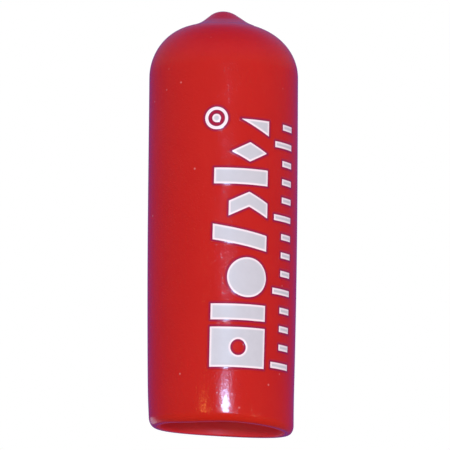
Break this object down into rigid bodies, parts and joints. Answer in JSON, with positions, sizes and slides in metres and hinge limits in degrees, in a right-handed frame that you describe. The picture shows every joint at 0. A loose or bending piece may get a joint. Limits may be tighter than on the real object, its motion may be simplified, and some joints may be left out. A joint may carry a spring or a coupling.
{
  "type": "antenna tip cap",
  "caption": "Soft vinyl push-on end cap with a domed closed end, a drip point and printed marks, that covers the tip of a rod antenna.",
  "frame": {"origin": "centre of the open end, in the plane that the rim stands on", "axes": "+Z along the bore from the open end to the drip point; the printed side faces -Y"},
  "size_m": [0.0156, 0.0157, 0.0449],
  "materials": {
    "red_vinyl": "soft glossy dip-moulded vinyl, slightly translucent",
    "light_ink": "pale screen-printing ink, satin"
  },
  "bodies": {
    "root": {"cap_shell": "red_vinyl", "mark_block": "light_ink", "mark_low_bar": "light_ink", "mark_oval": "light_ink", "mark_slant": "light_ink", "mark_chevron": "light_ink", "mark_high_bar": "light_ink", "mark_lozenge": "light_ink", "mark_wedge": "light_ink", "mark_ring": "light_ink", "fine_marks": "light_ink"}
  },
  "joints": []
}
